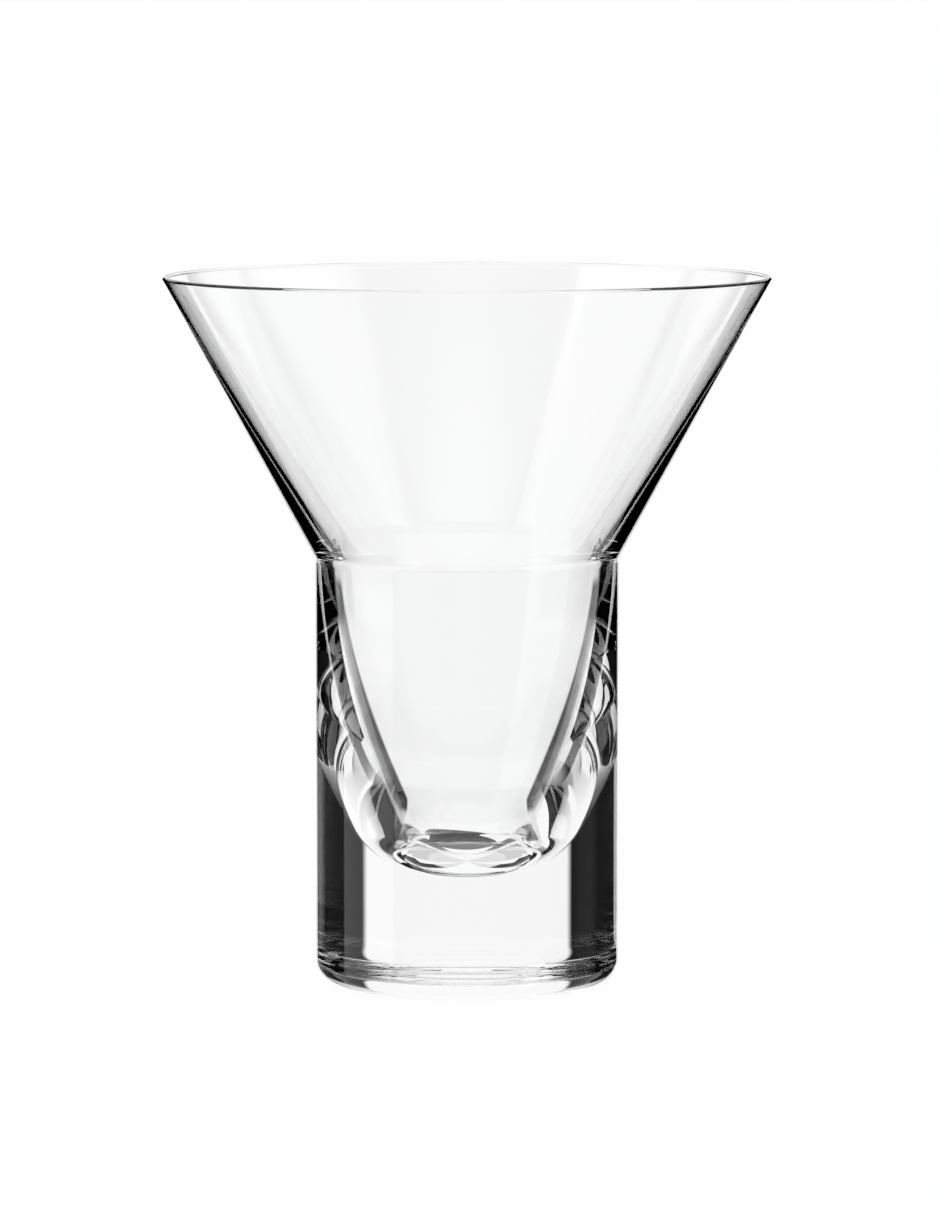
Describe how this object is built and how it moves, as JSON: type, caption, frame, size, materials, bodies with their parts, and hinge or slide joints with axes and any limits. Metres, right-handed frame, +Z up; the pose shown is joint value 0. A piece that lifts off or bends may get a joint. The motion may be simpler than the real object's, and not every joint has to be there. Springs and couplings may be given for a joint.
{
  "type": "cocktail glass",
  "caption": "Stemless clear cocktail glass: a thin flared bowl with a rounded lip and a tapering cup, fused into a heavy solid cylindrical base. Holds a short drink.",
  "frame": {"origin": "centre of the flat underside, on the table", "axes": "+Z up along the axis of revolution, towards the open lip; X and Y are free, because the glass is round"},
  "size_m": [0.096, 0.096, 0.112],
  "materials": {
    "clear_glass": "polished clear colourless glass"
  },
  "bodies": {
    "root": {"blown_bowl": "clear_glass", "heavy_base": "clear_glass"}
  },
  "joints": []
}
